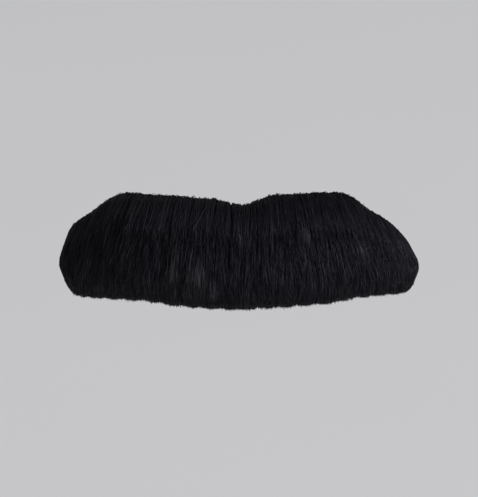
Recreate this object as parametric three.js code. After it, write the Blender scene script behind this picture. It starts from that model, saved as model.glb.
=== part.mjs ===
// A short black stick-on moustache, in the curve that it takes on a wearer's upper lip. A strip of
// double-sided tape lies against the skin, a cloth base is stuck to the tape, and a dense pile of
// combed hair is rooted in the cloth's face. The hair is one body: locks side by side over a solid
// bed, each of them in tufts that overlap downwards like shingles. They fan outwards towards the
// ends, hang past the cloth's lower edge and are trimmed to one line.
//
// Millimetres. +Z is the wearer's up, +X runs along the lip and the hair faces -Y. The origin is
// the middle of the tape's skin side. Each piece is a box in small steps, whose vertices are moved
// to the moustache's flat outline and then wrapped round the lip.
import * as THREE from "three";

// Overall sizes. The width is measured along the curve of the cloth's face, out to the hair's tips.
const MOUSTACHE_WIDTH = 57;
const MOUSTACHE_HEIGHT = 17.5;
const LIP_RADIUS = 38;

// Layers, from the skin outwards
const TAPE_THICKNESS = 0.5;
const CLOTH_THICKNESS = 1;
const PILE_DEPTH = 5.6;
const LAYER_GAP = 0.2;

// How far the cloth stops short of the hair's outline, and the tape of the cloth's
const CLOTH_END_MARGIN = 1.6;
const CLOTH_TOP_MARGIN = 0.7;
const CLOTH_BOTTOM_MARGIN = 2.2;
const TAPE_BARE_RIM = 1.8;

// The notch under the nose, in the upper edge, and how far it lies aside of the middle
const NOTCH_DEPTH = 1.3;
const NOTCH_WIDTH = 10;
const NOTCH_ASIDE = 0.6;

// Locks. The relief is the depth of a valley between two locks, the lift is how far a tuft's tip
// stands over the root of the next one, and the unevenness is the most that a whole tuft lies lower.
const LOCK_COUNT = 22;
const TUFTS_IN_LOCK = 4;
const LOCK_RELIEF = 0.8;
const TUFT_LIFT = 0.7;
const TUFT_UNEVENNESS = 0.35;
const TIP_SCALLOP = 0.45;
const FAN_REACH = 2.3;
const RIM_ROUNDING = 1.3;

// Shape of a lock's back, from a sharp ridge at 1 to a flat one at 0, and the share of a tuft's
// length over which it swells from its root
const RIDGE_SHARPNESS = 0.6;
const SWELL_SHARE = 0.75;

// Facets
const STEPS_ACROSS_LOCK = 4;
const STEPS_ALONG_TUFT = 4;
const LAYER_STEPS = 36;

// The flat outline and the pile's depth, from one end to the other. The moustache is trimmed by
// hand, so its two ends are a little unlike. across is a share of half the width, top and bottom
// are shares of half the height, and depth is a share of the pile's depth.
const SECTIONS = [
  { across: -1.0, top: -0.06, bottom: -0.5, depth: 0.5 },
  { across: -0.97, top: 0.25, bottom: -0.7, depth: 0.62 },
  { across: -0.91, top: 0.43, bottom: -0.85, depth: 0.74 },
  { across: -0.82, top: 0.61, bottom: -0.87, depth: 0.84 },
  { across: -0.7, top: 0.88, bottom: -0.875, depth: 0.9 },
  { across: -0.62, top: 0.99, bottom: -0.875, depth: 0.95 },
  { across: -0.5, top: 0.99, bottom: -0.875, depth: 0.98 },
  { across: -0.32, top: 0.98, bottom: -0.94, depth: 1.0 },
  { across: -0.16, top: 0.945, bottom: -0.98, depth: 1.0 },
  { across: 0.0, top: 0.985, bottom: -1.0, depth: 0.94 },
  { across: 0.16, top: 1.0, bottom: -0.98, depth: 1.0 },
  { across: 0.34, top: 1.0, bottom: -0.96, depth: 1.0 },
  { across: 0.5, top: 0.995, bottom: -0.93, depth: 0.98 },
  { across: 0.58, top: 0.95, bottom: -0.885, depth: 0.96 },
  { across: 0.7, top: 0.665, bottom: -0.87, depth: 0.9 },
  { across: 0.82, top: 0.43, bottom: -0.865, depth: 0.82 },
  { across: 0.92, top: 0.155, bottom: -0.87, depth: 0.72 },
  { across: 0.975, top: -0.05, bottom: -0.77, depth: 0.6 },
  { across: 1.0, top: -0.22, bottom: -0.6, depth: 0.5 },
];

// The pile's profile up a section, from the lower edge to the upper one, as shares of its depth
const PROFILE = [
  { up: 0.0, depth: 0.66 },
  { up: 0.16, depth: 0.93 },
  { up: 0.38, depth: 1.0 },
  { up: 0.65, depth: 0.9 },
  { up: 0.86, depth: 0.7 },
  { up: 1.0, depth: 0.5 },
];

// The rings of the pile's round rim, from the cloth outwards. out is a share of the pile's depth
// there, and end, top and bottom say how far a ring is drawn in, as shares of the rounding.
const RIM_RINGS = [
  { out: 0.0, end: 0.7, top: 0.15, bottom: 1.0 },
  { out: 0.5, end: 0.0, top: 0.0, bottom: 0.0 },
  { out: 1.0, end: 0.55, top: 0.3, bottom: 0.45 },
];

const HALF_WIDTH = MOUSTACHE_WIDTH / 2;
const HALF_HEIGHT = MOUSTACHE_HEIGHT / 2;
const CLOTH_BACK = TAPE_THICKNESS + LAYER_GAP;
const CLOTH_FACE = CLOTH_BACK + CLOTH_THICKNESS;
const HAIR_BACK = CLOTH_FACE + LAYER_GAP;
const FACE_RADIUS = LIP_RADIUS + CLOTH_FACE;

const sectionCurve = new THREE.CubicInterpolant(
  SECTIONS.map((row) => row.across),
  SECTIONS.flatMap((row) => [row.top, row.bottom, row.depth]),
  3,
);
const profileCurve = new THREE.CubicInterpolant(
  PROFILE.map((row) => row.up),
  PROFILE.map((row) => row.depth),
  1,
);

// The outline at a share of the half width, drawn in by an inset. Towards the ends, where the
// moustache is less high, the inset's upper and lower margins shrink with its height.
function outlineAt(share, inset) {
  const [top, bottom] = sectionCurve.evaluate(share);
  const fullness = (top - bottom) / 2;
  const along = share * (HALF_WIDTH - inset.end);
  const notchReach = Math.min(1, Math.abs(along - NOTCH_ASIDE) / (NOTCH_WIDTH / 2));
  const notch = (NOTCH_DEPTH * (1 + Math.cos(Math.PI * notchReach))) / 2;
  return {
    along,
    top: top * HALF_HEIGHT - inset.top * fullness - notch,
    bottom: bottom * HALF_HEIGHT + inset.bottom * fullness,
  };
}

// Wraps a flat place, at a distance out from the skin, round the lip
function wrapped(along, height, out) {
  const angle = along / FACE_RADIUS;
  const radius = LIP_RADIUS + out;
  return new THREE.Vector3(radius * Math.sin(angle), LIP_RADIUS - radius * Math.cos(angle), height);
}

// A box in steps, with each vertex moved to the place that a function gives for it. That function
// is told how far across the vertex is, from -1 to 1, how far out and how far up, both from 0 to 1.
function steppedBody(stepsAcross, stepsOut, stepsUp, place) {
  const box = [stepsAcross, stepsOut, stepsUp];
  const geometry = new THREE.BoxGeometry(...box, ...box);
  const positions = geometry.getAttribute("position");
  for (let i = 0; i < positions.count; i += 1) {
    const across = (2 * positions.getX(i)) / stepsAcross;
    const out = 0.5 - positions.getY(i) / stepsOut;
    const up = 0.5 + positions.getZ(i) / stepsUp;
    const moved = place(across, out, up);
    positions.setXYZ(i, moved.x, moved.y, moved.z);
  }
  geometry.computeVertexNormals();
  return geometry;
}

// A layer of even thickness between two distances from the skin, with steps that are closer
// together towards the round ends
function evenLayer(inset, back, front) {
  return steppedBody(LAYER_STEPS, 1, 1, (across, out, up) => {
    const outline = outlineAt(Math.sin((across * Math.PI) / 2), inset);
    const height = THREE.MathUtils.lerp(outline.bottom, outline.top, up);
    return wrapped(outline.along, height, THREE.MathUtils.lerp(back, front, out));
  });
}

// A number from 0 to 1 that stays the same for one lock, or for one tuft in it
function chance(lock, tuft) {
  return THREE.MathUtils.seededRandom(1 + lock * (TUFTS_IN_LOCK + 2) + tuft);
}

// How far over its lock's width a place lies, from 0 through 1 on the ridge to 0 again
function ridgeAt(lockPlace) {
  return Math.abs(Math.sin(Math.PI * lockPlace));
}

// How far the locks' surface lies below the pile's outer form. Each lock starts at its own point
// in a tuft's length, so that the tips of neighbours aren't level.
function lockHollow(lockPlace, up) {
  const lock = Math.min(LOCK_COUNT - 1, Math.floor(lockPlace));
  const ridge = ridgeAt(lockPlace) ** RIDGE_SHARPNESS;
  const shift = Math.floor(STEPS_ALONG_TUFT * chance(lock, 0)) / STEPS_ALONG_TUFT;
  const tuftPlace = (1 - up) * TUFTS_IN_LOCK + shift;
  const tuft = Math.floor(tuftPlace);
  const fromRoot = tuftPlace - tuft;
  const swell = Math.min(fromRoot / SWELL_SHARE, (1 - fromRoot) / (1 - SWELL_SHARE));
  const lower = TUFT_UNEVENNESS * chance(lock, 1 + tuft);
  return LOCK_RELIEF * (1 - ridge) + ridge * (TUFT_LIFT * (1 - swell) + lower);
}

// Where a vertex of the hair goes: between its lock's root, on the upper edge, and its tip
function hairPlace(across, out, up) {
  const ring = RIM_RINGS[out * (RIM_RINGS.length - 1)];
  const inset = {
    end: ring.end * RIM_ROUNDING,
    top: ring.top * RIM_ROUNDING,
    bottom: ring.bottom * RIM_ROUNDING,
  };
  const lockPlace = ((across + 1) / 2) * LOCK_COUNT;
  const fan = (Math.sign(across) * Math.sin(Math.PI * across ** 2) * FAN_REACH) / HALF_WIDTH;
  const root = outlineAt(across - fan, inset);
  const tip = outlineAt(across + fan, inset);
  const fullness = (tip.top - tip.bottom) / MOUSTACHE_HEIGHT;
  const tipHeight = tip.bottom + TIP_SCALLOP * fullness * (1 - ridgeAt(lockPlace));
  const share = THREE.MathUtils.lerp(across + fan, across - fan, up);
  const outerForm = sectionCurve.evaluate(share)[2] * profileCurve.evaluate(up)[0];
  const hollow = out === 1 ? lockHollow(lockPlace, up) * fullness : 0;
  return wrapped(
    THREE.MathUtils.lerp(tip.along, root.along, up),
    THREE.MathUtils.lerp(tipHeight, root.top, up),
    HAIR_BACK + ring.out * outerForm * (PILE_DEPTH - hollow),
  );
}

function hairPile() {
  const stepsOut = RIM_RINGS.length - 1;
  return steppedBody(LOCK_COUNT * STEPS_ACROSS_LOCK, stepsOut, TUFTS_IN_LOCK * STEPS_ALONG_TUFT, hairPlace);
}

function clothBase() {
  const inset = { end: CLOTH_END_MARGIN, top: CLOTH_TOP_MARGIN, bottom: CLOTH_BOTTOM_MARGIN };
  return evenLayer(inset, CLOTH_BACK, CLOTH_FACE);
}

function adhesiveTape() {
  const inset = {
    end: CLOTH_END_MARGIN + TAPE_BARE_RIM,
    top: CLOTH_TOP_MARGIN + TAPE_BARE_RIM,
    bottom: CLOTH_BOTTOM_MARGIN + TAPE_BARE_RIM,
  };
  return evenLayer(inset, 0, TAPE_THICKNESS);
}

function piece(name, geometry, colour, roughness) {
  const material = new THREE.MeshStandardMaterial({ color: colour, roughness, metalness: 0 });
  const mesh = new THREE.Mesh(geometry, material);
  mesh.name = name;
  return mesh;
}

const moustache = new THREE.Group();
moustache.add(
  piece("hair_pile", hairPile(), 0x17161a, 0.6),
  piece("cloth_base", clothBase(), 0x1c1b1e, 0.9),
  piece("adhesive_tape", adhesiveTape(), 0xdedbd2, 0.4),
);

export default moustache;
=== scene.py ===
"""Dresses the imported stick-on moustache: fine combed hair, its woven cloth base and its sticky tape.

Lengths in the classes are millimetres on the flat moustache. A flat place has three numbers: how far
along the lip it is, how high, and how far out from the skin. It is bent round the lip and turned into
metres when a mesh is made.
"""

import logging
import math
from dataclasses import dataclass, field
from enum import Enum

import bpy
import numpy as np
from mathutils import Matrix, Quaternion, Vector
from mathutils.bvhtree import BVHTree


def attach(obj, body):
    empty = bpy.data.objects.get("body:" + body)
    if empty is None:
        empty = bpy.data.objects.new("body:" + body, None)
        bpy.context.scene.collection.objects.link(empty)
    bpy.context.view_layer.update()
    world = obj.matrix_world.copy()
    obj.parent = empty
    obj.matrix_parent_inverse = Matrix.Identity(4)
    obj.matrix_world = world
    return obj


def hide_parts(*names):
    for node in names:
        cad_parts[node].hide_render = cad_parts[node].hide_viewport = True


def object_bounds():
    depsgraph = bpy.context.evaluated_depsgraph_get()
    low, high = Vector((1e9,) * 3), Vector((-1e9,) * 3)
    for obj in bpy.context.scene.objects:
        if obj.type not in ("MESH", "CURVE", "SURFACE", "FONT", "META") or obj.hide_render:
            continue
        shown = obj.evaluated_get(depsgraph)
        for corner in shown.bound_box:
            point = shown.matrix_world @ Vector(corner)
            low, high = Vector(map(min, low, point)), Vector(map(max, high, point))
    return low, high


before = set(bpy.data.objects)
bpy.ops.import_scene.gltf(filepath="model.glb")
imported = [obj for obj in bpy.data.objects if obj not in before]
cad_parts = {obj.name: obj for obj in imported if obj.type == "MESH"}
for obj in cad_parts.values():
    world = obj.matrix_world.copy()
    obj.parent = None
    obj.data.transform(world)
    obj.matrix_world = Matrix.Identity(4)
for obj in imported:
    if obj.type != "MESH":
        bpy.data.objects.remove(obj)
packed_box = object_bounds()

log = logging.getLogger("moustache")

MM = 0.001

# Steps that scatter points evenly over a square: the inverse of the plastic ratio, and its square
EVEN_STEPS = (0.7548776662466927, 0.5698402909980532)

Colour = tuple[float, float, float]
Source = bpy.types.NodeSocket | Colour | float
Values = np.ndarray | float


class Place(Enum):
    """The three numbers of a flat place, in their order."""

    ALONG = 0
    HEIGHT = 1
    OUT = 2


class Slot(Enum):
    """The record's names for the moustache's materials."""

    HAIR = "hair"
    CLOTH = "base_cloth"
    TAPE = "tape"


class Node(Enum):
    """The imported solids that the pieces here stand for."""

    HAIR = "hair_pile"
    CLOTH = "cloth_base"
    TAPE = "adhesive_tape"


@dataclass(frozen=True)
class LipCurve:
    """The curve of the upper lip, round which the flat moustache is bent.

    The cloth's outer face keeps its flat length, so the angle is measured on that face's radius.
    """

    skin_radius: float = 38.0
    face_radius: float = 39.7

    def bend(self, flat: np.ndarray) -> np.ndarray:
        """Bends flat places round the lip.

        Args:
            flat: Places in millimetres, with along, height and out in the last axis.

        Returns:
            The same places in the row frame, in metres.
        """
        angle = flat[..., Place.ALONG.value] / self.face_radius
        radius = self.skin_radius + flat[..., Place.OUT.value]
        side = radius * np.sin(angle)
        depth = self.skin_radius - radius * np.cos(angle)
        return np.stack([side, depth, flat[..., Place.HEIGHT.value]], axis=-1) * MM

    def unbend(self, points: np.ndarray) -> np.ndarray:
        """Lays points of the row frame flat again.

        Args:
            points: Points in metres.

        Returns:
            Their flat places in millimetres.
        """
        side, depth, height = (points / MM).T
        toward = self.skin_radius - depth
        along = np.arctan2(side, toward) * self.face_radius
        out = np.hypot(side, toward) - self.skin_radius
        return np.stack([along, height, out], axis=-1)

    def layer(self, inner: np.ndarray, outer: np.ndarray) -> "MeshParts":
        """Bends the flat grids of a closed layer's two faces round the lip, and joins them."""
        return ShellGrid(inner=self.bend(inner), outer=self.bend(outer)).parts()


@dataclass
class FlatForm:
    """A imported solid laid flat: its outline, and how far out its outer face lies.

    The outline is kept by columns along the lip, and the outer face by columns and by how far up a
    place is between the outline's lower and upper edge.
    """

    node: Node
    lip: LipCurve
    columns: int = 360
    rows: int = 72
    end_margin: float = 0.02
    rim_margin: float = 0.012
    outline_step: float = 0.05
    along: np.ndarray = field(init=False)
    bottom: np.ndarray = field(init=False)
    top: np.ndarray = field(init=False)
    up: np.ndarray = field(init=False)
    outer: np.ndarray = field(init=False)

    def __post_init__(self) -> None:
        """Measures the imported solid."""
        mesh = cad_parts[self.node.value].data
        points = np.empty(len(mesh.vertices) * 3)
        mesh.vertices.foreach_get("co", points)
        flat = self.lip.unbend(points.reshape(-1, 3))
        ends = flat[:, 0].min() + self.end_margin, flat[:, 0].max() - self.end_margin
        self.along = np.linspace(*ends, self.columns)
        self._measure_outline(mesh, flat)
        self._measure_outer_face(mesh, flat)

    def _measure_outline(self, mesh: bpy.types.Mesh, flat: np.ndarray) -> None:
        """Finds the lowest and highest place of each column, where the mesh's edges cross it.

        Args:
            mesh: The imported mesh.
            flat: The flat places of its vertices.
        """
        pairs = np.empty(len(mesh.edges) * 2, np.int64)
        mesh.edges.foreach_get("vertices", pairs)
        starts, stops = flat[pairs.reshape(-1, 2)].swapaxes(0, 1)
        swap = starts[:, 0] > stops[:, 0]
        starts[swap], stops[swap] = stops[swap], starts[swap]
        self.bottom = np.empty(self.columns)
        self.top = np.empty(self.columns)
        for column, along in enumerate(self.along):
            crossed = (starts[:, 0] <= along) & (stops[:, 0] > along)
            first, last = starts[crossed], stops[crossed]
            share = (along - first[:, 0]) / (last[:, 0] - first[:, 0])
            heights = first[:, 1] + share * (last[:, 1] - first[:, 1])
            self.bottom[column] = heights.min()
            self.top[column] = heights.max()

    def _measure_outer_face(self, mesh: bpy.types.Mesh, flat: np.ndarray) -> None:
        """Finds how far out the solid reaches at each column and row.

        Args:
            mesh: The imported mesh.
            flat: The flat places of its vertices.
        """
        tree = BVHTree.FromPolygons(flat.tolist(), [tuple(face.vertices) for face in mesh.polygons])
        self.up = np.linspace(self.rim_margin, 1 - self.rim_margin, self.rows)
        self.outer = np.zeros((self.columns, self.rows))
        far, inward = 40.0, Vector((0, 0, -1))
        for column, along in enumerate(self.along):
            low, high = self.bottom[column], self.top[column]
            for row, up in enumerate(self.up):
                hit = tree.ray_cast(Vector((along, low + up * (high - low), far)), inward)[0]
                self.outer[column, row] = hit[2] if hit else np.nan
        known = ~np.isnan(self.outer)
        lowest = self.outer[known].min()
        self.outer[~known] = lowest

    def along_at(self, across: np.ndarray) -> np.ndarray:
        """The place along the lip of a share from -1, at one end, to 1, at the other."""
        return (self.along[0] + self.along[-1]) / 2 + across * self.half_width()

    def half_width(self) -> float:
        """Half the outline's width, in millimetres."""
        return (self.along[-1] - self.along[0]) / 2

    def height_at(self, across: np.ndarray, up: Values) -> np.ndarray:
        """Finds the height of a place in the outline.

        Args:
            across: Shares from -1 to 1 along the lip.
            up: Shares from 0, on the lower edge, to 1, on the upper one.

        Returns:
            Heights in millimetres.
        """
        along = self.along_at(across)
        low, high = (np.interp(along, self.along, edge) for edge in (self.bottom, self.top))
        return between(low, high, up)

    def fullness_at(self, across: np.ndarray) -> np.ndarray:
        """The height from the lower to the upper edge at a share across."""
        return self.height_at(across, 1.0) - self.height_at(across, 0.0)

    def outer_at(self, across: np.ndarray, up: np.ndarray) -> np.ndarray:
        """How far out the outer face lies.

        Args:
            across: Shares from -1 to 1 along the lip.
            up: Shares up the outline.

        Returns:
            Distances from the skin in millimetres, between the four nearest measured ones.
        """
        column = np.clip((across + 1) / 2, 0, 1) * (self.columns - 1)
        row = np.clip((up - self.up[0]) / (self.up[-1] - self.up[0]), 0, 1) * (self.rows - 1)
        left = np.minimum(column.astype(int), self.columns - 2)
        under = np.minimum(row.astype(int), self.rows - 2)
        lower = between(self.outer[left, under], self.outer[left + 1, under], column - left)
        upper = between(self.outer[left, under + 1], self.outer[left + 1, under + 1], column - left)
        return between(lower, upper, row - under)

    def grid(self, columns: int, rows: int, widest: float, reach: float) -> tuple[np.ndarray, ...]:
        """Lays a grid over the outline.

        Args:
            columns: The number of its columns along the lip.
            rows: The number of its rows.
            widest: The share across of its last column.
            reach: How near to the outline the nearness starts to rise, in millimetres.

        Returns:
            The grid's places along the lip, its heights, and its nearness to the outline, from 0 far
            from it to 1 on it.
        """
        across, up = np.meshgrid(
            np.linspace(-widest, widest, columns), np.linspace(0, 1, rows), indexing="ij"
        )
        to_end = (1 - np.abs(across)) * self.half_width()
        to_edge = np.minimum(up, 1 - up) * self.fullness_at(across)
        nearness = 1 - smooth_step(np.minimum(to_end, to_edge) / reach)
        return self.along_at(across), self.height_at(across, up), nearness

    def soften_face(self, reach: float, share: float) -> None:
        """Evens the outer face along the lip, so that a part of the locks' relief is left.

        Args:
            reach: How far along the lip a place is evened, in millimetres.
            share: How much of the even form is taken, from 0 to 1.
        """
        even = evened(self.outer, reach / (self.along[1] - self.along[0]), "edge")
        self.outer = between(self.outer, even, share)

    def round_outline(self, reach: float, end_margin: float) -> None:
        """Evens the outline all the way round, so that its corners and ends are soft.

        Args:
            reach: How far along the outline a place is evened, in millimetres.
            end_margin: How far inside the round ends the outline stops, in millimetres.
        """
        upper, lower = (np.stack([self.along, edge], axis=-1) for edge in (self.top, self.bottom))
        ring = np.concatenate([upper, lower[::-1], upper[:1]])
        travelled = np.concatenate([[0], np.cumsum(np.linalg.norm(np.diff(ring, axis=0), axis=1))])
        places = np.arange(0, travelled[-1], self.outline_step)
        even = np.stack([np.interp(places, travelled, values) for values in ring.T], axis=-1)
        soft = evened(even, reach / self.outline_step, "wrap")
        soft = np.roll(soft, -np.argmin(soft[:, 0]), axis=0)
        last = np.argmax(soft[:, 0])
        upper = soft[: last + 1]
        lower = np.concatenate([soft[last:], soft[:1]])[::-1]
        self.along = np.linspace(upper[0, 0] + end_margin, upper[-1, 0] - end_margin, self.columns)
        self.top, self.bottom = (np.interp(self.along, *edge.T) for edge in (upper, lower))


def smooth_step(value: np.ndarray) -> np.ndarray:
    """Eases a share from 0 to 1, and keeps it there outside that range."""
    share = np.clip(value, 0, 1)
    return share * share * (3 - 2 * share)


def between(first: np.ndarray, second: np.ndarray, share: Values) -> np.ndarray:
    """The value at a share of the way from a first to a second one."""
    return first + (second - first) * share


def evened(values: np.ndarray, reach: float, beyond: str) -> np.ndarray:
    """Averages the rows of a table with their neighbours, the nearest ones the most.

    Args:
        values: The table.
        reach: The spread of the weights, in rows.
        beyond: Numpy's name for what lies before the first row and after the last one.

    Returns:
        A table of the same size.
    """
    pad = round(3 * reach)
    weights = np.exp(-0.5 * (np.arange(-pad, pad + 1) * 3 / pad) ** 2)
    padded = np.pad(values, ((pad, pad), (0, 0)), mode=beyond)
    windows = np.lib.stride_tricks.sliding_window_view(padded, 2 * pad + 1, axis=0)
    return (windows * weights).sum(axis=-1) / weights.sum()


def map_faces(*corners: tuple[Values, Values]) -> np.ndarray:
    """Stacks the corners of many faces, each given as its places across and up the map."""
    return np.stack([np.stack(np.broadcast_arrays(*corner), axis=-1) for corner in corners], axis=-2)


@dataclass
class MeshParts:
    """The arrays of one mesh, gathered before Blender makes it.

    corners holds the vertex numbers of each face, with one array for each number of sides, and maps
    holds the places of the same corners on the flat map of the surface.
    """

    points: np.ndarray
    corners: list[np.ndarray]
    maps: list[np.ndarray]
    marks: dict[str, np.ndarray] = field(default_factory=dict)

    def build(self, name: str) -> bpy.types.Object:
        """Makes the mesh and puts it in the scene.

        Args:
            name: The piece's name.

        Returns:
            The new object, with smooth shading.
        """
        mesh = bpy.data.meshes.new(name)
        loops = np.concatenate([group.ravel() for group in self.corners])
        sides = np.concatenate([np.full(len(group), group.shape[1]) for group in self.corners])
        mesh.vertices.add(len(self.points))
        mesh.vertices.foreach_set("co", self.points.astype(np.float32).ravel())
        mesh.loops.add(len(loops))
        mesh.loops.foreach_set("vertex_index", loops.astype(np.int32))
        mesh.polygons.add(len(sides))
        starts = np.concatenate([[0], np.cumsum(sides)[:-1]])
        mesh.polygons.foreach_set("loop_start", starts.astype(np.int32))
        mesh.update(calc_edges=True)
        mesh.polygons.foreach_set("use_smooth", np.ones(len(sides), bool))
        layer = mesh.uv_layers.new(name="OFBake")
        places = np.concatenate([group.reshape(-1, 2) for group in self.maps])
        layer.uv.foreach_set("vector", places.astype(np.float32).ravel())
        for mark, values in self.marks.items():
            attribute = mesh.attributes.new(mark, "FLOAT", "POINT")
            attribute.data.foreach_set("value", values.astype(np.float32).ravel())
        mesh.validate()
        made = bpy.data.objects.new(name, mesh)
        bpy.context.scene.collection.objects.link(made)
        return made


@dataclass
class ShellGrid:
    """A closed body made of an inner and an outer grid of points with a wall round their edges.

    The outer face takes the lower part of the map, the inner face the upper part, and the wall a
    band between them.
    """

    inner: np.ndarray
    outer: np.ndarray
    map_margin: float = 0.01
    face_height: float = 0.46
    inner_rise: float = 0.52
    wall_band: tuple[float, float] = (0.485, 0.515)

    def parts(self) -> MeshParts:
        """Joins the two grids.

        Returns:
            The arrays of one closed mesh.
        """
        columns, rows = self.inner.shape[:2]
        count = columns * rows
        numbers = np.arange(count).reshape(columns, rows)
        squares = [numbers[:-1, :-1], numbers[1:, :-1], numbers[1:, 1:], numbers[:-1, 1:]]
        quads = np.stack(squares, axis=-1).reshape(-1, 4)
        ring = np.concatenate([numbers[:-1, 0], numbers[-1, :-1], numbers[:0:-1, -1], numbers[0, :0:-1]])
        following = np.roll(ring, -1)
        wall = np.stack([ring, ring + count, following + count, following], axis=-1)
        steps = np.meshgrid(np.linspace(0, 1, columns), np.linspace(0, 1, rows), indexing="ij")
        margin = self.map_margin
        low = np.stack(steps, axis=-1).reshape(-1, 2) * [1 - 2 * margin, self.face_height] + margin
        high = low + [0, self.inner_rise]
        wall_steps = np.linspace(margin, 1 - margin, len(ring) + 1)
        near, far = wall_steps[:-1], wall_steps[1:]
        under, over = self.wall_band
        wall_map = map_faces((near, under), (near, over), (far, over), (far, under))
        return MeshParts(
            points=np.concatenate([self.inner.reshape(-1, 3), self.outer.reshape(-1, 3)]),
            corners=[np.concatenate([quads[:, ::-1], quads + count, wall[:, ::-1]])],
            maps=[np.concatenate([high[quads[:, ::-1]], low[quads], wall_map[:, ::-1]])],
        )


@dataclass
class StrandBundle:
    """Fine strands, as closed tubes of three sides that taper to a point.

    paths holds each strand's points from root to tip, with the point of the tip last. thick holds the
    radius at each point but the last one. tone and reach hold the marks of every point.
    """

    paths: np.ndarray
    thick: np.ndarray
    turn: np.ndarray
    tone: np.ndarray
    reach: np.ndarray
    sides: int = 3

    def parts(self) -> MeshParts:
        """Makes the tubes of all the strands.

        Returns:
            The arrays of one joined mesh, in the units of the paths. Each strand has its own cell of
            the map.
        """
        strands, stations = self.paths.shape[:2]
        rings = stations - 1
        points = self._ring_points(rings)
        tips = self.paths[:, -1:, :]
        per_strand = rings * self.sides + 1
        every = np.concatenate([points.reshape(strands, rings * self.sides, 3), tips], axis=1)
        quads, triangles = self._faces(rings)
        base = (np.arange(strands) * per_strand)[:, None, None]
        quad_map, triangle_map = self._cells(strands, rings)
        return MeshParts(
            points=every.reshape(-1, 3),
            corners=[(quads + base).reshape(-1, 4), (triangles + base).reshape(-1, 3)],
            maps=[quad_map, triangle_map],
            marks={"tone": self._by_corner(self.tone), "reach": self._by_corner(self.reach)},
        )

    def _by_corner(self, values: np.ndarray) -> np.ndarray:
        """Repeats a mark of each point for the corners of its ring. The tip has it once."""
        rings = np.repeat(values[:, :-1], self.sides, axis=1)
        return np.concatenate([rings, values[:, -1:]], axis=1).ravel()

    def chosen(self, numbers: np.ndarray) -> "StrandBundle":
        """A bundle of the strands with some numbers."""
        arrays = (self.paths, self.thick, self.turn, self.tone, self.reach)
        return StrandBundle(*(values[numbers] for values in arrays))

    def _ring_points(self, rings: int) -> np.ndarray:
        """Places the corners round each strand's centre line.

        Args:
            rings: The number of rings along a strand.

        Returns:
            Points by strand, ring and side.
        """
        ahead = np.diff(self.paths, axis=1)
        heading = ahead.copy()
        heading[:, 1:] += ahead[:, :-1]
        heading = heading[:, :rings]
        heading /= np.linalg.norm(heading, axis=-1, keepdims=True) + 1e-12
        sideways = np.cross(heading, np.array([1.0, 0.13, 0.07]))
        sideways /= np.linalg.norm(sideways, axis=-1, keepdims=True) + 1e-12
        other = np.cross(heading, sideways)
        angle = self.turn[:, None, None] + np.arange(self.sides) * (2 * math.pi / self.sides)
        angle = angle[..., None]
        around = np.cos(angle) * sideways[:, :, None, :] + np.sin(angle) * other[:, :, None, :]
        return self.paths[:, :rings, None, :] + self.thick[:, :, None, None] * around

    def _faces(self, rings: int) -> tuple[np.ndarray, np.ndarray]:
        """The faces of one strand.

        Args:
            rings: The number of rings along a strand.

        Returns:
            The quads along it, and the triangles of its tip and its root.
        """
        side = np.arange(self.sides)
        after = (side + 1) % self.sides
        start = (np.arange(rings - 1) * self.sides)[:, None]
        quads = np.stack(
            [start + side, start + after, start + self.sides + after, start + self.sides + side], axis=-1
        ).reshape(-1, 4)
        last = (rings - 1) * self.sides
        tip = np.stack([last + side, last + after, np.full(self.sides, rings * self.sides)], axis=-1)
        root = side[::-1][None, :]
        return quads, np.concatenate([tip, root])

    def _cells(self, strands: int, rings: int) -> tuple[np.ndarray, np.ndarray]:
        """Lays each strand's faces in its own cell of the map.

        Args:
            strands: The number of strands.
            rings: The number of rings along a strand.

        Returns:
            The places of the corners of the quads and of the triangles.
        """
        cells = math.ceil(math.sqrt(strands))
        corner = np.stack(np.divmod(np.arange(strands), cells), axis=-1)[:, None, None, :]
        left = np.arange(self.sides) / self.sides
        right = left + 1 / self.sides
        low = (np.arange(rings - 1) / rings)[:, None]
        high = low + 1 / rings
        quads = map_faces((left, low), (right, low), (right, high), (left, high))
        shoulder = 1 - 1 / rings
        tip = map_faces((left, shoulder), (right, shoulder), ((left + right) / 2, 1.0))
        root = [[[0.0, -0.02], [0.5, -0.1], [1.0, -0.02]]]
        triangles = np.concatenate([tip, root])
        shrink, shift = 0.8, (0.1, 0.12)
        quad_map, triangle_map = (
            (corner + faces * shrink + shift) / cells for faces in (quads.reshape(-1, 4, 2), triangles)
        )
        return quad_map.reshape(-1, 4, 2), triangle_map.reshape(-1, 3, 2)


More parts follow.
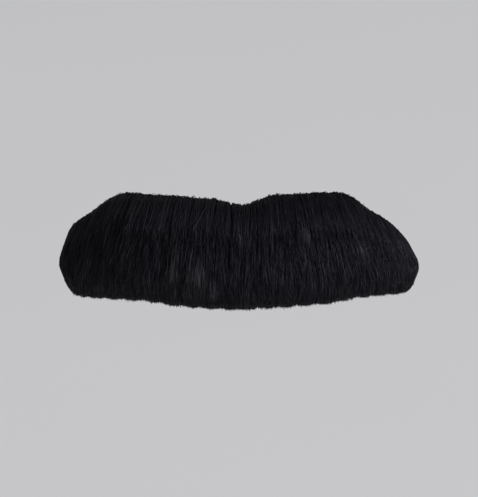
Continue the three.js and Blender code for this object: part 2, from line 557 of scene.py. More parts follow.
class Shader:
    """A material's nodes, with short ways to add and join them."""

    def __init__(self, name: str) -> None:
        """Starts a material with a Principled shader.

        Args:
            name: The material's name.
        """
        self.material = bpy.data.materials.new(name)
        self.material.use_nodes = True
        self.tree = self.material.node_tree
        self.tree.nodes.clear()
        self.surface = self.add("ShaderNodeBsdfPrincipled")
        output = self.add("ShaderNodeOutputMaterial")
        self.join(self.surface.outputs["BSDF"], output.inputs["Surface"])

    def add(self, kind: str, **settings: object) -> bpy.types.Node:
        """Adds a node.

        Args:
            kind: Blender's name for the node.
            **settings: Settings of the node itself.

        Returns:
            The new node.
        """
        node = self.tree.nodes.new(kind)
        for name, value in settings.items():
            setattr(node, name, value)
        return node

    def join(self, start: bpy.types.NodeSocket, end: bpy.types.NodeSocket) -> None:
        """Links two sockets."""
        self.tree.links.new(start, end)

    def feed(self, source: Source, end: bpy.types.NodeSocket) -> None:
        """Links a socket to another one, or sets its number or its colour.

        Args:
            source: The other socket, or the number or the colour.
            end: The socket that takes it.
        """
        if isinstance(source, bpy.types.NodeSocket):
            self.join(source, end)
        elif isinstance(source, tuple):
            end.default_value = (*source, 1)
        else:
            end.default_value = source

    def mark(self, name: str) -> bpy.types.NodeSocket:
        """The values of one of the mesh's own marks."""
        return self.add("ShaderNodeAttribute", attribute_name=name).outputs["Fac"]

    def places(self, stretch: tuple[float, float, float] = (1, 1, 1)) -> bpy.types.NodeSocket:
        """Gives the piece's own coordinates in metres.

        Args:
            stretch: A factor for each axis.

        Returns:
            The stretched coordinates.
        """
        source = self.add("ShaderNodeTexCoord")
        mapping = self.add("ShaderNodeMapping")
        mapping.inputs["Scale"].default_value = stretch
        self.join(source.outputs["Object"], mapping.inputs["Vector"])
        return mapping.outputs["Vector"]

    def noise(self, places: bpy.types.NodeSocket, scale: float, detail: float) -> bpy.types.NodeSocket:
        """Cloudy noise over some places.

        Args:
            places: The coordinates.
            scale: Patches per unit of the coordinates.
            detail: The number of finer layers.

        Returns:
            The noise's value.
        """
        node = self.add("ShaderNodeTexNoise")
        node.inputs["Scale"].default_value = scale
        node.inputs["Detail"].default_value = detail
        self.join(places, node.inputs["Vector"])
        return node.outputs["Fac"]

    def ramp(
        self, value: bpy.types.NodeSocket, stops: list[tuple[float, Colour]]
    ) -> bpy.types.NodeSocket:
        """Turns a value into colours.

        Args:
            value: The value, from 0 to 1.
            stops: Positions and their colours, in order.

        Returns:
            The colour.
        """
        node = self.add("ShaderNodeValToRGB")
        elements = node.color_ramp.elements
        while len(elements) < len(stops):
            elements.new(0.5)
        for element, (position, colour) in zip(elements, stops):
            element.position = position
            element.color = (*colour, 1)
        self.join(value, node.inputs["Fac"])
        return node.outputs["Color"]

    def spread(self, value: bpy.types.NodeSocket, low: float, high: float) -> bpy.types.NodeSocket:
        """Maps a value from 0 to 1 on to a range.

        Args:
            value: The value.
            low: What 0 becomes.
            high: What 1 becomes.

        Returns:
            The new value.
        """
        node = self.add("ShaderNodeMapRange")
        node.inputs["To Min"].default_value = low
        node.inputs["To Max"].default_value = high
        self.join(value, node.inputs["Value"])
        return node.outputs["Result"]

    def blend(
        self, share: Source, first: Source, second: Source, way: str = "MIX"
    ) -> bpy.types.NodeSocket:
        """Blends two colours.

        Args:
            share: How much of the second colour is taken.
            first: The first colour.
            second: The second colour.
            way: Blender's name for the blend.

        Returns:
            The blended colour.
        """
        node = self.add("ShaderNodeMix", data_type="RGBA", blend_type=way)
        for name, source in (("Factor", share), ("A", first), ("B", second)):
            self.feed(source, node.inputs[name])
        return node.outputs["Result"]

    def bump(self, height: bpy.types.NodeSocket, strength: float, distance: float) -> None:
        """Roughens the surface by a height.

        Args:
            height: The height, from 0 to 1.
            strength: How strongly it shows, from 0 to 1.
            distance: The height of 1, in metres.
        """
        node = self.add("ShaderNodeBump")
        node.inputs["Strength"].default_value = strength
        node.inputs["Distance"].default_value = distance
        self.join(height, node.inputs["Height"])
        self.join(node.outputs["Normal"], self.surface.inputs["Normal"])

    def set(self, **values: float | tuple[float, ...]) -> None:
        """Sets numbers and colours of the surface, named by their sockets with low lines for spaces."""
        for name, value in values.items():
            self.surface.inputs[name.replace("_", " ")].default_value = value


@dataclass(frozen=True)
class HairFinish:
    """Near-black synthetic hair with a cool cast, a little warmer and lighter in some strands, and
    darkened towards the roots as painted shade.
    """

    name: str = "black_hair"
    deep: Colour = (0.003, 0.0029, 0.005)
    middle: Colour = (0.0072, 0.007, 0.0108)
    light: Colour = (0.042, 0.040, 0.045)
    # Painted shade: the colour that strands darken to at their roots
    root: Colour = (0.0016, 0.0016, 0.0026)
    roughness: tuple[float, float] = (0.5, 0.66)
    shine: float = 0.22
    shine_tint: Colour = (0.86, 0.87, 1.0)

    def material(self) -> bpy.types.Material:
        """Makes the material.

        Returns:
            A material that takes a strand's tone and the way from root to tip from the mesh.
        """
        shader = Shader(self.name)
        tone = shader.mark("tone")
        reach = shader.mark("reach")
        strand = shader.ramp(tone, [(0.0, self.deep), (0.55, self.middle), (1.0, self.light)])
        streak = shader.noise(shader.places((1, 1, 0.25)), 2600, 2)
        worn = shader.ramp(streak, [(0.3, (0.72, 0.72, 0.74)), (0.7, (1.0, 1.0, 1.0))])
        shader.bump(streak, 0.25, 0.00002)
        # Painted shade: the strands darken towards their roots
        unshaded_share = shader.ramp(reach, [(0.1, (0, 0, 0)), (0.75, (1, 1, 1))])
        root_shaded = shader.blend(unshaded_share, self.root, strand)
        shader.join(shader.blend(1.0, root_shaded, worn, "MULTIPLY"), shader.surface.inputs["Base Color"])
        shader.join(shader.spread(tone, *self.roughness), shader.surface.inputs["Roughness"])
        shader.set(Specular_IOR_Level=self.shine, Specular_Tint=(*self.shine_tint, 1))
        return shader.material


@dataclass(frozen=True)
class ClothFinish:
    """Black woven cotton, greyer on the crowns of its threads and darkened between them as painted
    shade.
    """

    name: str = "black_cotton"
    valley_shade: Colour = (0.002, 0.002, 0.0025)
    thread: Colour = (0.011, 0.0107, 0.012)
    crown: Colour = (0.034, 0.033, 0.036)
    roughness: tuple[float, float] = (0.82, 0.97)

    def material(self) -> bpy.types.Material:
        """Makes the material.

        Returns:
            A material that takes the height of the threads from the mesh.
        """
        shader = Shader(self.name)
        raised = shader.mark("tone")
        lint = shader.noise(shader.places(), 5200, 3)
        patches = shader.noise(shader.places(), 260, 2)
        # Painted shade: darkest in the hollows between the threads
        woven = shader.ramp(raised, [(0.1, self.valley_shade), (0.55, self.thread), (1.0, self.crown)])
        dusty = shader.ramp(lint, [(0.35, (0.6, 0.6, 0.62)), (0.75, (1.25, 1.22, 1.2))])
        colour = shader.blend(shader.spread(patches, 0.5, 1.0), woven, dusty, "MULTIPLY")
        shader.join(colour, shader.surface.inputs["Base Color"])
        shader.join(shader.spread(lint, *self.roughness), shader.surface.inputs["Roughness"])
        shader.bump(lint, 0.6, 0.00006)
        shader.set(Specular_IOR_Level=0.25, Sheen_Weight=0.15, Sheen_Roughness=0.4)
        return shader.material


@dataclass(frozen=True)
class TapeFinish:
    """Milky double-sided tape, with a faint print of the weave behind it and a few cloudy patches."""

    name: str = "milky_tape"
    clear: Colour = (0.70, 0.685, 0.63)
    cloudy: Colour = (0.80, 0.785, 0.74)
    rim: Colour = (0.56, 0.54, 0.48)
    roughness: tuple[float, float] = (0.24, 0.42)

    def material(self) -> bpy.types.Material:
        """Makes the material.

        Returns:
            A material that takes the nearness of the rim from the mesh.
        """
        shader = Shader(self.name)
        clouds = shader.noise(shader.places(), 420, 4)
        grain = shader.noise(shader.places(), 3400, 2)
        film = shader.ramp(clouds, [(0.3, self.clear), (0.7, self.cloudy)])
        weave = shader.ramp(shader.mark("print"), [(0.15, (0.86, 0.86, 0.85)), (0.8, (1.0, 1.0, 1.0))])
        printed = shader.blend(shader.spread(grain, 0.55, 1.0), film, weave, "MULTIPLY")
        edged = shader.blend(shader.mark("tone"), printed, self.rim)
        shader.join(edged, shader.surface.inputs["Base Color"])
        shader.join(shader.spread(clouds, *self.roughness), shader.surface.inputs["Roughness"])
        shader.bump(grain, 0.35, 0.00004)
        shader.set(Specular_IOR_Level=0.5, Coat_Weight=0.15, Coat_Roughness=0.25)
        return shader.material


@dataclass(frozen=True)
class FloorFinish:
    """Plain pale matt floor."""

    name: str = "pale_floor"
    colour: Colour = (0.87, 0.87, 0.88)
    shade: Colour = (0.855, 0.855, 0.865)

    def material(self) -> bpy.types.Material:
        """Makes the material.

        Returns:
            A matt material with faint clouds.
        """
        shader = Shader(self.name)
        clouds = shader.noise(shader.places(), 3, 2)
        cloudy = shader.ramp(clouds, [(0.3, self.shade), (0.7, self.colour)])
        shader.join(cloudy, shader.surface.inputs["Base Color"])
        shader.set(Roughness=1.0, Specular_IOR_Level=0.0)
        return shader.material


@dataclass(frozen=True)
class HighlightWisp:
    """A painted highlight where a few strands would catch the light: its flat place and its spread, in
    millimetres.

    The spread is stretched along the strands.
    """

    along: float
    height: float
    size: float
    lighter: float
    stretch: float = 1.6

    def painted_highlight(self, paths: np.ndarray) -> np.ndarray:
        """Paints a highlight on the hair where the wisp would catch the light.

        Args:
            paths: The strands' flat points.

        Returns:
            How much lighter the painted highlight makes the tone at each point.
        """
        aside = (paths[..., Place.ALONG.value] - self.along) / self.size
        higher = (paths[..., Place.HEIGHT.value] - self.height) / (self.stretch * self.size)
        return self.lighter * np.exp(-(aside**2) - higher**2)


@dataclass
class PileRoom:
    """The room that the hair fills, between the cloth's face and the pile's outer form.

    A place in it has a share across from -1 to 1, a share up from 0 to 1, and a share out from the
    cloth's face at 0 to the outer form at 1. It is wider than the cloth, and from bulge_share on it
    is as wide as the hair.
    """

    hair: FlatForm
    cloth: FlatForm
    cloth_face: float = 1.7
    bulge_share: float = 0.42

    def place(self, across: np.ndarray, up: np.ndarray, out: np.ndarray) -> np.ndarray:
        """Turns places in the room into flat places.

        Args:
            across: Shares along the lip.
            up: Shares up the outline, below 0 under the lower edge.
            out: Shares from the cloth to the outer form.

        Returns:
            Flat places in millimetres.
        """
        bulge = smooth_step(out / self.bulge_share)
        along = between(self.cloth.along_at(across), self.hair.along_at(across), bulge)
        height = between(self.cloth.height_at(across, up), self.hair.height_at(across, up), bulge)
        depth = self.hair.outer_at(across, up) - self.cloth_face
        return np.stack([along, height, self.cloth_face + out * depth], axis=-1)


@dataclass
class Comb:
    """Roots the strands all over the cloth, combs them down and trims them to one lower line.

    Its arrays have a row for each strand. A spread is how far a value strays from strand to strand.
    """

    room: PileRoom
    seed: int = 7

    # Roots: how many, the shares of them along the brow, or upper rim, and along each end, and how
    # wide these bands are
    strands: int = 36000
    spare_tries: float = 1.02
    brow_share: float = 0.09
    brow_band: float = 0.05
    brow_spread: float = 0.004
    end_share: float = 0.025
    end_band: float = 0.03
    root_spread: float = 0.0035

    # Clumps that strands lean together in, and what the strands of one have in common
    clumps: int = 1500
    clump_height_weight: float = 0.6
    clump_pull: float = 0.5
    clump_lean: float = 0.45
    clump_length: float = 0.1
    clump_rise: float = 0.025
    clump_tone: float = 0.1

    # Strands, with lengths in millimetres. They are shorter where the moustache is lower than
    # full_height.
    rings: int = 4
    fine_steps: int = 33
    length: float = 8.6
    length_spread: float = 0.11
    full_height: float = 13.0
    shortest_share: float = 0.42
    least_height: float = 2.5
    radius: float = 0.052
    radius_spread: float = 0.12
    thinning: float = 0.5

    # Combing: how many millimetres the strands fan out towards the ends and lean aside, and what
    # share of the room they stand out from the cloth
    fan_reach: float = 2.07
    lean_spread: float = 0.34
    rise: float = 0.96
    rise_spread: float = 0.035
    stray_share: float = 0.02
    stray_lean: float = 3.2
    stray_rise: float = 0.05

    # Powers of the way along a strand: the higher one is, the later the strand sweeps aside, is
    # pulled to its clump or falls, and the sooner it has risen
    sweep_power: float = 1.4
    pull_power: float = 1.6
    fall_power: float = 1.45
    brow_fall_power: float = 1.3
    rise_power: float = 2.1

    # The brow: where it starts, how far up from there it is full, and how its strands differ
    brow_start: float = 0.78
    brow_width: float = 0.2
    brow_shortening: float = 0.25
    brow_fuzz: float = 0.007

    # Trimming: the line's height over the lower edge, in millimetres, how round the ends are, and
    # how far along a strand its point starts
    trim_raise: float = 0.15
    trim_spread: float = 0.12
    end_spread: float = 0.008
    end_rounding: float = 0.01
    cut_point: float = 0.965
    grown_point: float = 0.86

    # In these shares up and across, the bed hides the roots, and the strands start further on
    hidden_up: tuple[float, float] = (0.34, 0.9)
    hidden_across: float = 0.86
    hidden_start: float = 0.2

    # Tones, from 0 for the darkest hair to 1
    tone: float = 0.4
    tone_spread: float = 0.17
    streaks: int = 26
    streak_spread: float = 0.06
    glint_share: float = 0.035
    glint: float = 0.4
    # Painted light and shade: strands are made lighter towards their tips and darker towards their roots
    tip_light_root_shade: float = 0.3
    # Painted shade: how much darker the upper band of the hair is made, as if shaded from above
    painted_top_shade: float = 0.3
    # Painted highlights: patches of strands made lighter where they would catch the light
    highlight_wisps: tuple[HighlightWisp, ...] = (
        HighlightWisp(-9.2, -3.4, 0.85, 0.5),
        HighlightWisp(-5.6, -3.5, 1.0, 0.75),
        HighlightWisp(-3.5, -6.0, 0.55, 0.8),
        HighlightWisp(0.3, 2.1, 0.5, 0.95),
        HighlightWisp(9.1, 2.8, 0.6, 0.95),
        HighlightWisp(17.5, 0.1, 0.75, 0.8),
    )

    chance: np.random.Generator = field(init=False)
    across: np.ndarray = field(init=False)
    up: np.ndarray = field(init=False)
    fullness: np.ndarray = field(init=False)
    clump: np.ndarray = field(init=False)

    def __post_init__(self) -> None:
        """Places the roots, and gives each of them a clump."""
        self.chance = np.random.default_rng(self.seed)
        self.across, self.up = self._roots()
        self.fullness = np.maximum(self.room.hair.fullness_at(self.across), self.least_height)
        self.clump = self._nearest_clump()

    def _roots(self) -> tuple[np.ndarray, np.ndarray]:
        """Spreads the roots evenly over the cloth, with more of them along its upper rim and ends.

        Returns:
            The shares across and up of the roots.
        """
        cloth = self.room.cloth
        brow = int(self.strands * self.brow_share)
        end = int(self.strands * self.end_share)
        inside = self.strands - brow - 2 * end
        fullness = cloth.fullness_at(np.linspace(-1, 1, 400))
        tries = np.arange(int(inside * self.spare_tries * fullness.max() / fullness.mean()))
        across, level = ((0.5 + tries * step) % 1 for step in EVEN_STEPS)
        across = 2 * across - 1
        held = level * fullness.max() < cloth.fullness_at(across)
        across, level = across[held][:inside], level[held][:inside]
        up = level * fullness.max() / cloth.fullness_at(across)
        brow_across = np.linspace(-1, 1, brow) + self.chance.normal(0, self.brow_spread, brow)
        brow_up = 1 - self.brow_band * self.chance.random(brow) ** 1.5
        end_across = 1 - self.end_band * self.chance.random((2, end))
        end_up = self.chance.random(2 * end)
        across = np.concatenate([across, brow_across, end_across[0], -end_across[1]])
        up = np.concatenate([up, brow_up, end_up])
        aside, higher = self.chance.normal(0, self.root_spread, (2, len(across)))
        return np.clip(across + aside, -1, 1)[:, None], np.clip(up + higher, 0, 1)[:, None]

    def _nearest_clump(self) -> np.ndarray:
        """Gives each root the clump that it leans to.

        Returns:
            The number of the strand at the clump's middle, for each root.
        """
        along = self.room.hair.along_at(self.across)
        height = self.room.hair.height_at(self.across, self.up)
        middles = self.chance.choice(len(along), self.clumps, replace=False)
        nearest = []
        for batch in np.array_split(np.arange(len(along)), 12):
            aside = along[batch] - along[middles, 0]
            higher = self.clump_height_weight * (height[batch] - height[middles, 0])
            nearest.append(middles[np.argmin(aside**2 + higher**2, axis=1)])
        return np.concatenate(nearest)

    def _drawn(self, spread: float = 1.0) -> np.ndarray:
        """A random number for each strand, from a bell curve round 0."""
        return self.chance.normal(0, spread, self.across.shape)

    def _combed(self) -> tuple[np.ndarray, np.ndarray, np.ndarray]:
        """Combs the strands down from their roots, before they are trimmed.

        Returns:
            The shares across, up and out of each strand's fine steps.
        """
        across, up = self.across, self.up
        vigour, leaning = (self._drawn()[self.clump] for _ in range(2))
        length = self.length * (1 + self._drawn(self.length_spread)) * (1 + self.clump_length * vigour)
        length = length * np.clip(self.fullness / self.full_height, self.shortest_share, 1)
        lean = self._drawn(self.lean_spread) + self.clump_lean * leaning
        rise = self.rise + self._drawn(self.rise_spread) + self.clump_rise * vigour
        stray = self.chance.random(across.shape) < self.stray_share
        lean = np.where(stray, lean * self.stray_lean, lean)
        rise = np.where(stray, rise + self.stray_rise, rise)

        fine = np.linspace(0, 1, self.fine_steps)
        fan = self.fan_reach * np.sign(across) * np.sin(math.pi * across**2)
        sweep = (fan + lean * (1 - np.abs(across) ** 8)) * fine**self.sweep_power
        pull = self.clump_pull * fine**self.pull_power * (across[self.clump] - across)
        path_across = across + sweep / self.room.hair.half_width() + pull

        # On the brow the strands stand up before they fall, and are a little shorter
        brow = smooth_step((up - self.brow_start) / self.brow_width)
        fall = length * (1 - self.brow_shortening * brow)
        fall = fall * fine ** (self.fall_power + self.brow_fall_power * brow)
        fuzz = self.brow_fuzz * np.abs(self._drawn()) * brow * smooth_step(fine / 0.2)
        path_up = up + fuzz - fall / self.fullness
        path_out = rise * (1 - (1 - fine) ** self.rise_power)

        corner = np.abs(2 * np.clip(path_up, 0, 1) - 1) ** 3
        end_limit = 1 + self._drawn(self.end_spread) - self.end_rounding * corner
        return np.clip(path_across, -end_limit, end_limit), path_up, path_out

    def _stops(self, path_up: np.ndarray) -> np.ndarray:
        """Trims the strands, and shares out the points that each of them keeps.

        Args:
            path_up: The share up of each strand's fine steps.

        Returns:
            How far along its combed way each point lies, from 0 at the root to 1.
        """
        over = path_up < (self.trim_raise + self._drawn(self.trim_spread)) / self.fullness
        trimmed = over.any(axis=1, keepdims=True)
        last = self.fine_steps - 1
        cut = np.where(trimmed, np.argmax(over, axis=1, keepdims=True), last)
        end = np.maximum(cut, 3) / last
        low, high = self.hidden_up
        near_rim = (self.up < low) | (self.up > high) | (np.abs(self.across) > self.hidden_across)
        start = np.minimum(np.where(near_rim, 0.0, self.hidden_start), end * 0.5)
        shares = np.tile(np.linspace(0, 1, self.rings + 1) ** 0.9, (len(start), 1))
        shares[:, -2:-1] = np.where(trimmed, self.cut_point, self.grown_point)
        return start + (end - start) * shares

    def _tones(self, stops: np.ndarray, path_up: np.ndarray, paths: np.ndarray) -> np.ndarray:
        """Gives each point of the strands its tone, with painted shade towards the upper edge and the
        roots, and painted highlights where the wisps are.

        Args:
            stops: How far along its strand each point lies.
            path_up: The share up of each point.
            paths: The points' flat places.

        Returns:
            Tones from 0 to 1.
        """
        strand = self.tone + self._drawn(self.tone_spread) + self._drawn(self.clump_tone)[self.clump]
        streak = self.chance.normal(0, self.streak_spread, self.streaks)
        strand = strand + np.interp(self.across, np.linspace(-1, 1, self.streaks), streak)
        glints = self.chance.random(self.across.shape) < self.glint_share
        # Painted shade: darker towards the upper edge of the hair
        shade = self.painted_top_shade * smooth_step((path_up - 0.5) / 0.4)
        # Painted light and shade along each strand: lighter at the tip, darker at the root
        tone = strand + self.glint * glints + self.tip_light_root_shade * (stops - 0.7) - shade
        return np.clip(tone + sum(wisp.painted_highlight(paths) for wisp in self.highlight_wisps), 0, 1)

    def strands_on(self, lip: LipCurve) -> StrandBundle:
        """Combs and trims all the strands.

        Args:
            lip: The curve that they are bent round.

        Returns:
            The strands, in metres.
        """
        ways = self._combed()
        stops = self._stops(ways[1])
        laid = [self._sampled(way, stops * (self.fine_steps - 1)) for way in ways]
        paths = self.room.place(*laid)
        radius = self.radius * (1 + self._drawn(self.radius_spread)) * MM
        return StrandBundle(
            paths=lip.bend(paths),
            thick=radius * (1 - self.thinning * stops[:, :-1] ** 2),
            tone=self._tones(stops, laid[1], paths),
            turn=self.chance.uniform(0, 2 * math.pi, len(stops)),
            reach=stops,
        )

    @staticmethod
    def _sampled(values: np.ndarray, spot: np.ndarray) -> np.ndarray:
        """Reads each row of values at fractional places.

        Args:
            values: A table with a row for each strand.
            spot: The places in each row.

        Returns:
            The values there.
        """
        lower = np.minimum(spot.astype(int), values.shape[1] - 2)
        first, second = (np.take_along_axis(values, lower + step, axis=1) for step in range(2))
        return between(first, second, spot - lower)


@dataclass
class HairPile:
    """The combed pile: its strands, over a bed of their dense lower parts, painted dark as their shade.
    """

    lip: LipCurve
    room: PileRoom
    groups: int = 4
    bed_share: float = 0.5
    bed_width: float = 0.985
    bed_band: tuple[float, float] = (0.03, 0.965)
    bed_end_slope: float = 0.07
    bed_edge_slope: float = 0.22
    bed_range: tuple[float, float] = (0.03, 0.8)
    bed_columns: int = 240
    bed_rows: int = 44
    bed_shade_mark: float = 0.1
    ridge_spread: float = 0.045
    seed: int = 8

    def bed(self) -> MeshParts:
        """Makes the bed of the strands' lower parts, painted in the roots' shade, with fine ridges along
        them.

        Returns:
            The arrays of a closed mesh on the cloth.
        """
        chance = np.random.default_rng(self.seed)
        across, up = np.meshgrid(
            np.sin(np.linspace(-math.pi / 2, math.pi / 2, self.bed_columns)) * self.bed_width,
            np.linspace(*self.bed_band, self.bed_rows),
            indexing="ij",
        )
        ridges = chance.normal(0, self.ridge_spread, (self.bed_columns, 1))
        from_edge = smooth_step(np.minimum(up, 1 - up) / self.bed_edge_slope)
        from_end = smooth_step((1 - np.abs(across)) / self.bed_end_slope)
        inside = from_edge * from_end
        out = np.clip(self.bed_share * (0.1 + 0.9 * inside) + ridges * inside, *self.bed_range)
        parts = self.lip.layer(self.room.place(across, up, 0 * out), self.room.place(across, up, out))
        # Painted shade: the low tone and reach give the bed the darkest, root-shaded colour
        parts.marks = {name: np.full(len(parts.points), self.bed_shade_mark) for name in ("tone", "reach")}
        return parts

    def build(self, finish: HairFinish) -> list[bpy.types.Object]:
        """Makes the bed and the strands.

        Args:
            finish: The hair's finish.

        Returns:
            The pieces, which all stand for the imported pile.
        """
        made = [self.bed().build("hair_bed")]
        comb = Comb(self.room)
        bundle = comb.strands_on(self.lip)
        order = np.argsort(comb.across[:, 0], kind="stable")
        for number, chosen in enumerate(np.array_split(order, self.groups), start=1):
            made.append(bundle.chosen(chosen).parts().build(f"hair_strands_{number}"))
        material = finish.material()
        for piece in made:
            piece.data.materials.append(material)
            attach(piece, "root")
            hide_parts(Node.HAIR.value)
        return made


@dataclass(frozen=True)
class PlainWeave:
    """Threads that pass over and under each other in turn, in millimetres."""

    pitch: float = 0.8
    thread_rise: float = 0.15
    thread_sway: float = 0.09

    def hollow(self, along: np.ndarray, height: np.ndarray) -> np.ndarray:
        """How far the threads' surface lies below their crowns.

        Args:
            along: Places along the lip.
            height: Heights.

        Returns:
            Depths from 0 on a crown.
        """
        upright = self._thread(along, height)
        level = self._thread(height, along + self.pitch)
        return self.thread_sway - np.maximum(upright, level)

    def raised(self, along: np.ndarray, height: np.ndarray) -> np.ndarray:
        """Gives the threads' surface as a share of its relief.

        Args:
            along: Places along the lip.
            height: Heights.

        Returns:
            Shares from 0 between threads to 1 on a crown.
        """
        relief = self.thread_rise + 2 * self.thread_sway
        return 1 - np.clip(self.hollow(along, height) / relief, 0, 1)

    def _thread(self, side: np.ndarray, run: np.ndarray) -> np.ndarray:
        """One family of threads.

        Args:
            side: Places across the threads.
            run: Places along them.

        Returns:
            The height of the nearest thread's surface.
        """
        number = np.round(side / self.pitch)
        aside = (side / self.pitch - number) * 2.1
        round_back = np.sqrt(np.clip(1 - aside**2, 0, 1))
        sway = np.cos(math.pi * (run / self.pitch + number))
        return self.thread_rise * (round_back - 1) + self.thread_sway * sway


@dataclass
class ClothBase:
    """The woven cloth that carries the hair, with its threads modelled on both faces."""

    lip: LipCurve
    form: FlatForm
    weave: PlainWeave
    back: float = 0.56
    face: float = 1.7
    columns: int = 300
    rows: int = 76
    widest: float = 0.998
    edge_rounding: float = 0.3
    edge_reach: float = 0.6

    def build(self, finish: ClothFinish) -> bpy.types.Object:
        """Makes the cloth.

        Args:
            finish: The cloth's finish.

        Returns:
            The piece.
        """
        along, height, nearness = self.form.grid(self.columns, self.rows, self.widest, self.edge_reach)
        hollow = self.weave.hollow(along, height)
        drawn_in = self.edge_rounding * nearness
        back = np.stack([along, height, self.back + drawn_in + hollow], axis=-1)
        front = np.stack([along, height, self.face - drawn_in - 0.5 * hollow], axis=-1)
        parts = self.lip.layer(back, front)
        parts.marks = {"tone": np.tile(self.weave.raised(along, height).ravel(), 2)}
        cloth = parts.build("woven_base")
        cloth.data.materials.append(finish.material())
        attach(cloth, "root")
        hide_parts(Node.CLOTH.value)
        flat_length = 2 * self.form.half_width() * MM
        return cloth


@dataclass
class StickyTape:
    """The double-sided tape against the skin, with a soft edge and a faintly uneven skin side."""

    lip: LipCurve
    form: FlatForm
    weave: PlainWeave
    thickness: float = 0.54
    soft_edge: float = 0.16
    edge_reach: float = 0.7
    rim_tone: float = 0.8
    unevenness: float = 0.03
    print_depth: float = 0.02
    columns: int = 230
    rows: int = 58
    widest: float = 0.999

    def build(self, finish: TapeFinish) -> bpy.types.Object:
        """Makes the tape.

        Args:
            finish: The tape's finish.

        Returns:
            The piece.
        """
        along, height, nearness = self.form.grid(self.columns, self.rows, self.widest, self.edge_reach)
        edge = self.soft_edge * nearness**2
        ripple = self.unevenness * np.sin(along * 0.9 + np.sin(height * 0.7)) * np.cos(height * 0.8)
        raised = self.weave.raised(along, height)
        skin = edge + (np.abs(ripple) + self.print_depth * (1 - raised)) * (1 - nearness)
        inner = np.stack([along, height, skin], axis=-1)
        outer = np.stack([along, height, self.thickness - 0.3 * edge], axis=-1)
        parts = self.lip.layer(inner, outer)
        marks = {"tone": self.rim_tone * nearness**2, "print": raised}
        parts.marks = {name: np.tile(values.ravel(), 2) for name, values in marks.items()}
        tape = parts.build("sticky_tape")
        tape.data.materials.append(finish.material())
        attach(tape, "root")
        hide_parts(Node.TAPE.value)
        return tape


@dataclass(frozen=True)
class Softbox:
    """A square soft lamp: where it stands and its size, in metres, and its strength in watts."""

    name: str
    place: tuple[float, float, float]
    size: float
    strength: float
    colour: Colour = (1.0, 1.0, 1.0)

    def build(self, aim: Vector) -> None:
        """Makes the lamp.

        Args:
            aim: The point that it is turned to.
        """
        light = bpy.data.lights.new(self.name, "AREA")
        light.shape = "SQUARE"
        light.size = self.size
        light.energy = self.strength
        light.color = self.colour
        lamp = bpy.data.objects.new(self.name, light)
        lamp.location = self.place
        lamp.rotation_mode = "QUATERNION"
        lamp.rotation_quaternion = (aim - Vector(self.place)).to_track_quat("-Z", "Y")
        bpy.context.scene.collection.objects.link(lamp)


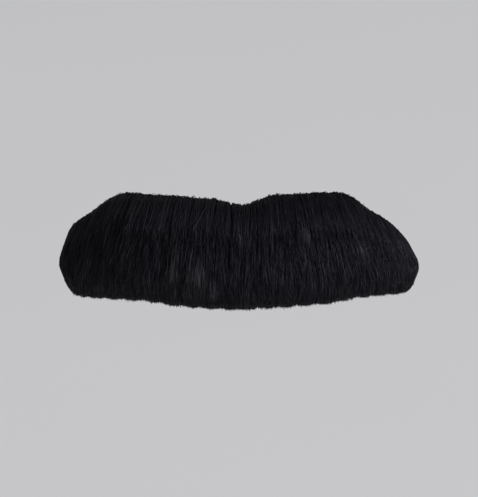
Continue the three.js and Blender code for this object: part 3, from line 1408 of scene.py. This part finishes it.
@dataclass
class Studio:
    """A plain pale floor, soft light and the camera at the photograph's angle.

    The room's even light is weaker than its walls look, so that they match the lamp-lit floor.
    """

    floor_drop: float = 0.05
    floor_size: float = 24.0
    room_light: Colour = (0.45, 0.45, 0.455)
    room_walls: Colour = (0.54, 0.54, 0.55)
    camera_distance: float = 1.8
    camera_elevation: float = 8.0
    camera_roll: float = 0.5
    lens: float = 860.0
    sensor: float = 36.0
    lamps: tuple[Softbox, ...] = (
        Softbox("key_softbox", (3.5, -2.4, 0.6), 1.3, 240),
        Softbox("fill_softbox", (-3.3, -2.1, 0.9), 1.8, 1.2),
        Softbox("top_softbox", (0.3, 1.6, 4.5), 2.7, 7),
    )

    def build(self) -> None:
        """Makes the floor, the lamps, the world and the camera."""
        low, high = packed_box
        middle = (low + high) / 2
        self._floor(low.z - self.floor_drop)
        for lamp in self.lamps:
            lamp.build(middle)
        self._world()
        self._camera(middle)

    def _floor(self, height: float) -> None:
        """Lays the floor.

        Args:
            height: Its height in metres.
        """
        half = self.floor_size / 2
        mesh = bpy.data.meshes.new("floor")
        sides = ((-1, -1), (1, -1), (1, 1), (-1, 1))
        corners = [(half * along, half * back, height) for along, back in sides]
        mesh.from_pydata(corners, [], [(0, 1, 2, 3)])
        floor = bpy.data.objects.new("floor", mesh)
        bpy.context.scene.collection.objects.link(floor)
        mesh.materials.append(FloorFinish().material())

    def _world(self) -> None:
        """Fills the room with even pale light."""
        world = bpy.data.worlds.new("pale_room")
        world.use_nodes = True
        tree = world.node_tree
        light = tree.nodes["Background"]
        light.inputs["Color"].default_value = (*self.room_light, 1)
        walls = tree.nodes.new("ShaderNodeBackground")
        walls.inputs["Color"].default_value = (*self.room_walls, 1)
        seen = tree.nodes.new("ShaderNodeLightPath")
        either = tree.nodes.new("ShaderNodeMixShader")
        tree.links.new(seen.outputs["Is Camera Ray"], either.inputs["Fac"])
        tree.links.new(light.outputs["Background"], either.inputs[1])
        tree.links.new(walls.outputs["Background"], either.inputs[2])
        tree.links.new(either.outputs["Shader"], tree.nodes["World Output"].inputs["Surface"])
        bpy.context.scene.world = world
        bpy.context.scene.view_settings.view_transform = "Standard"

    def _camera(self, middle: Vector) -> None:
        """Puts the camera at the photograph's angle.

        Args:
            middle: The point in the middle of the picture.
        """
        data = bpy.data.cameras.new("camera")
        data.lens = self.lens
        data.sensor_width = self.sensor
        camera = bpy.data.objects.new("camera", data)
        elevation = math.radians(self.camera_elevation)
        back = Vector((0, -math.cos(elevation), math.sin(elevation)))
        camera.location = middle + back * self.camera_distance
        camera.rotation_mode = "QUATERNION"
        roll = Quaternion((0, 0, 1), math.radians(-self.camera_roll))
        camera.rotation_quaternion = (-back).to_track_quat("-Z", "Y") @ roll
        bpy.context.scene.collection.objects.link(camera)
        bpy.context.scene.camera = camera


def main() -> None:
    """Builds the moustache and the studio, and reports each piece."""
    logging.basicConfig(level=logging.INFO, format="%(message)s")
    lip = LipCurve()
    hair_form = FlatForm(Node.HAIR, lip)
    hair_form.soften_face(reach=1.2, share=0.6)
    hair_form.round_outline(reach=0.6, end_margin=0.15)
    cloth_form = FlatForm(Node.CLOTH, lip)
    cloth_form.round_outline(reach=0.8, end_margin=0.02)
    tape_form = FlatForm(Node.TAPE, lip)
    tape_form.round_outline(reach=1.2, end_margin=0.02)
    weave = PlainWeave()
    pieces = [
        StickyTape(lip, tape_form, weave).build(TapeFinish()),
        ClothBase(lip, cloth_form, weave).build(ClothFinish()),
        *HairPile(lip, PileRoom(hair_form, cloth_form)).build(HairFinish()),
    ]
    for piece in pieces:
        triangles = len(piece.data.loops) - 2 * len(piece.data.polygons)
        log.info("%s: %d triangles", piece.name, triangles)
    Studio().build()


if __name__ == "__main__":
    main()
